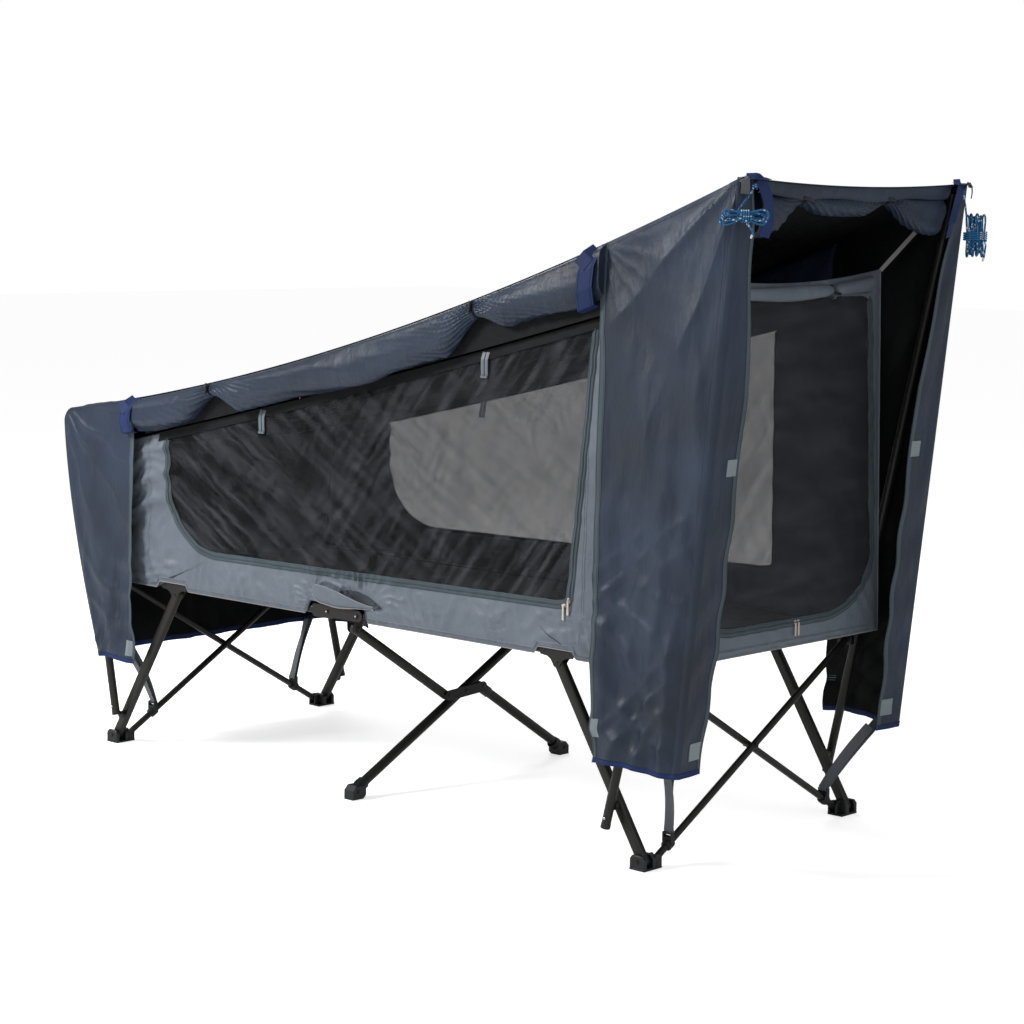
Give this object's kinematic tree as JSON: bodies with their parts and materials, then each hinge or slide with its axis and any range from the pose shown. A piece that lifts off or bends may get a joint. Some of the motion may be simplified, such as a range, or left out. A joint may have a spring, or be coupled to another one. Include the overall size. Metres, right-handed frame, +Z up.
{
  "type": "tent cot",
  "caption": "Folding camp cot on crossed steel legs with a small tent sewn over its bed, net doors and a separate fly sheet with rolled doors.",
  "frame": {"origin": "on the floor, under the middle of the whole length without the guy ropes, 54 mm from the centre hinges towards the head end", "axes": "+X towards the head end, where the tent is tallest; +Y across the bed, away from the side with the zip sliders; +Z up"},
  "size_m": [2.4489, 0.9994, 1.572],
  "materials": {
    "coated_steel": "dark bronze grey powder coat",
    "nylon": "moulded, fine grain",
    "chrome": "polished",
    "nickel": "nickel plated zinc",
    "fly_cloth": "coated ripstop polyester",
    "inner_cloth": "plain woven polyester",
    "bed_cloth": "coarse woven polyester",
    "netting": "fine insect netting",
    "webbing": "flat woven webbing",
    "cord": "braided cord with light flecks"
  },
  "bodies": {
    "near_side": {"near_rail_foot_half": "coated_steel", "near_rail_head_half": "coated_steel", "near_hinge_bracket": "coated_steel", "inner_near_wall": "inner_cloth", "near_door_net": "netting", "near_door_roll": "fly_cloth", "fly_near_head_panel": "fly_cloth", "fly_near_foot_panel": "fly_cloth", "near_guy_rope": "cord", "hinge_guard_flap": "inner_cloth", "near_head_strap": "webbing", "near_foot_strap": "webbing", "bed_deck": "bed_cloth", "inner_shell": "inner_cloth", "head_door_net": "netting", "fly_canopy": "fly_cloth", "head_door_roll": "fly_cloth"},
    "leg_a": {"scissor_leg_a_upper": "coated_steel", "scissor_offset_plate": "coated_steel", "scissor_leg_a_lower": "coated_steel", "far_middle_foot": "nylon"},
    "leg_b": {"scissor_leg_b": "coated_steel", "near_middle_foot": "nylon"},
    "far_side": {"far_rail_foot_half": "coated_steel", "far_rail_head_half": "coated_steel", "far_hinge_bracket": "coated_steel", "inner_far_wall": "inner_cloth", "far_door_net": "netting", "far_door_roll": "fly_cloth", "fly_far_head_panel": "fly_cloth", "fly_far_foot_panel": "fly_cloth", "far_guy_rope": "cord", "far_head_strap": "webbing", "far_foot_strap": "webbing"},
    "near_foot_leg": {"near_foot_leg": "coated_steel"},
    "near_foot_foot": {"near_foot_foot": "nylon"},
    "near_foot_tube": {"near_foot_cross_tube": "coated_steel", "near_foot_strap_clip": "nylon"},
    "near_foot_upright": {"near_foot_upright": "coated_steel"},
    "near_foot_button": {"near_foot_spring_button": "chrome"},
    "near_head_leg": {"near_head_leg": "coated_steel"},
    "near_head_foot": {"near_head_foot": "nylon"},
    "near_head_tube": {"near_head_cross_tube": "coated_steel", "near_head_strap_clip": "nylon"},
    "near_head_upright": {"near_head_upright": "coated_steel"},
    "near_head_button": {"near_head_spring_button": "chrome"},
    "far_foot_leg": {"far_foot_leg": "coated_steel"},
    "far_foot_foot": {"far_foot_foot": "nylon"},
    "far_foot_tube": {"far_foot_cross_tube": "coated_steel", "far_foot_strap_clip": "nylon"},
    "far_foot_upright": {"far_foot_upright": "coated_steel"},
    "far_foot_button": {"far_foot_spring_button": "chrome"},
    "far_head_leg": {"far_head_leg": "coated_steel"},
    "far_head_foot": {"far_head_foot": "nylon"},
    "far_head_tube": {"far_head_cross_tube": "coated_steel", "far_head_strap_clip": "nylon"},
    "far_head_upright": {"far_head_upright": "coated_steel"},
    "far_head_button": {"far_head_spring_button": "chrome"},
    "side_slider": {"side_zip_slider": "nickel"},
    "bottom_slider": {"bottom_zip_slider": "nickel"}
  },
  "joints": [
    {"name": "fold", "type": "hinge", "parent": "near_side", "child": "leg_a", "pos_m": [-0.0539, -0.392, 0.44], "axis": [-1, 0, 0], "range_deg": [0, 25], "deforming": ["bed_deck", "inner_shell", "head_door_net", "fly_canopy", "head_door_roll"]},
    {"name": "scissor", "type": "hinge", "parent": "leg_a", "child": "leg_b", "pos_m": [-0.0539, 0, 0.23], "axis": [1, 0, 0], "range_deg": [0, 50]},
    {"name": "far_knuckle", "type": "hinge", "parent": "leg_b", "child": "far_side", "pos_m": [-0.0539, 0.392, 0.44], "axis": [-1, 0, 0], "range_deg": [0, 25]},
    {"name": "near_foot_leg_swing", "type": "hinge", "parent": "near_side", "child": "near_foot_leg", "pos_m": [-0.7539, -0.392, 0.447], "axis": [0, -1, 0], "range_deg": [0, 67]},
    {"name": "near_foot_foot_turn", "type": "hinge", "parent": "near_foot_leg", "child": "near_foot_foot", "pos_m": [-1.0189, -0.392, 0.022], "axis": [0, -1, 0], "range_deg": [-13.2, 0]},
    {"name": "near_foot_tube_lift", "type": "hinge", "parent": "near_foot_foot", "child": "near_foot_tube", "pos_m": [-1.0094, -0.358, 0.022], "axis": [1, 0, 0], "range_deg": [0, 25.4]},
    {"name": "near_foot_upright_slide", "type": "slide", "parent": "near_side", "child": "near_foot_upright", "axis": [0.2302, -0.028, -0.9727], "range_m": [0, 0.05]},
    {"name": "near_foot_button_press", "type": "slide", "parent": "near_foot_upright", "child": "near_foot_button", "axis": [0, 1, 0], "range_m": [0, 0.0025], "stiffness_N_per_m": 700, "springref_m": -0.002},
    {"name": "near_head_leg_swing", "type": "hinge", "parent": "near_side", "child": "near_head_leg", "pos_m": [0.6461, -0.392, 0.447], "axis": [0, 1, 0], "range_deg": [0, 67]},
    {"name": "near_head_foot_turn", "type": "hinge", "parent": "near_head_leg", "child": "near_head_foot", "pos_m": [0.9111, -0.392, 0.022], "axis": [0, 1, 0], "range_deg": [-13.2, 0]},
    {"name": "near_head_tube_lift", "type": "hinge", "parent": "near_head_foot", "child": "near_head_tube", "pos_m": [0.9206, -0.358, 0.022], "axis": [1, 0, 0], "range_deg": [0, 25.4]},
    {"name": "near_head_upright_slide", "type": "slide", "parent": "near_side", "child": "near_head_upright", "axis": [-0.2258, -0.0153, -0.9741], "range_m": [0, 0.05]},
    {"name": "near_head_button_press", "type": "slide", "parent": "near_head_upright", "child": "near_head_button", "axis": [0, 1, 0], "range_m": [0, 0.0025], "stiffness_N_per_m": 700, "springref_m": -0.002},
    {"name": "far_foot_leg_swing", "type": "hinge", "parent": "far_side", "child": "far_foot_leg", "pos_m": [-0.7539, 0.392, 0.447], "axis": [0, -1, 0], "range_deg": [0, 67]},
    {"name": "far_foot_foot_turn", "type": "hinge", "parent": "far_foot_leg", "child": "far_foot_foot", "pos_m": [-1.0189, 0.392, 0.022], "axis": [0, -1, 0], "range_deg": [-13.2, 0]},
    {"name": "far_foot_tube_lift", "type": "hinge", "parent": "far_foot_foot", "child": "far_foot_tube", "pos_m": [-1.0284, 0.358, 0.022], "axis": [-1, 0, 0], "range_deg": [0, 25.4]},
    {"name": "far_foot_upright_slide", "type": "slide", "parent": "far_side", "child": "far_foot_upright", "axis": [0.2302, 0.028, -0.9727], "range_m": [0, 0.05]},
    {"name": "far_foot_button_press", "type": "slide", "parent": "far_foot_upright", "child": "far_foot_button", "axis": [0, -1, 0], "range_m": [0, 0.0025], "stiffness_N_per_m": 700, "springref_m": -0.002},
    {"name": "far_head_leg_swing", "type": "hinge", "parent": "far_side", "child": "far_head_leg", "pos_m": [0.6461, 0.392, 0.447], "axis": [0, 1, 0], "range_deg": [0, 67]},
    {"name": "far_head_foot_turn", "type": "hinge", "parent": "far_head_leg", "child": "far_head_foot", "pos_m": [0.9111, 0.392, 0.022], "axis": [0, 1, 0], "range_deg": [-13.2, 0]},
    {"name": "far_head_tube_lift", "type": "hinge", "parent": "far_head_foot", "child": "far_head_tube", "pos_m": [0.9016, 0.358, 0.022], "axis": [-1, 0, 0], "range_deg": [0, 25.4]},
    {"name": "far_head_upright_slide", "type": "slide", "parent": "far_side", "child": "far_head_upright", "axis": [-0.2258, 0.0153, -0.9741], "range_m": [0, 0.05]},
    {"name": "far_head_button_press", "type": "slide", "parent": "far_head_upright", "child": "far_head_button", "axis": [0, -1, 0], "range_m": [0, 0.0025], "stiffness_N_per_m": 700, "springref_m": -0.002},
    {"name": "side_slider_run", "type": "slide", "parent": "near_side", "child": "side_slider", "axis": [0.1093, 0, 0.994], "range_m": [0, 0.55]},
    {"name": "bottom_slider_run", "type": "slide", "parent": "near_side", "child": "bottom_slider", "axis": [-0.9999, 0, -0.0111], "range_m": [0, 1.1]}
  ],
  "couplings": [
    {"joint": "scissor", "follows": "fold", "ratio": 2},
    {"joint": "far_knuckle", "follows": "fold", "ratio": 1},
    {"joint": "near_foot_leg_swing", "follows": "fold", "ratio": 2.6729},
    {"joint": "near_foot_foot_turn", "follows": "fold", "ratio": -0.5216},
    {"joint": "near_foot_tube_lift", "follows": "fold", "ratio": 1.0112},
    {"joint": "near_head_leg_swing", "follows": "fold", "ratio": 2.6729},
    {"joint": "near_head_foot_turn", "follows": "fold", "ratio": -0.5216},
    {"joint": "near_head_tube_lift", "follows": "fold", "ratio": 1.0112},
    {"joint": "far_foot_leg_swing", "follows": "fold", "ratio": 2.6729},
    {"joint": "far_foot_foot_turn", "follows": "fold", "ratio": -0.5216},
    {"joint": "far_foot_tube_lift", "follows": "fold", "ratio": 1.0112},
    {"joint": "far_head_leg_swing", "follows": "fold", "ratio": 2.6729},
    {"joint": "far_head_foot_turn", "follows": "fold", "ratio": -0.5216},
    {"joint": "far_head_tube_lift", "follows": "fold", "ratio": 1.0112}
  ]
}
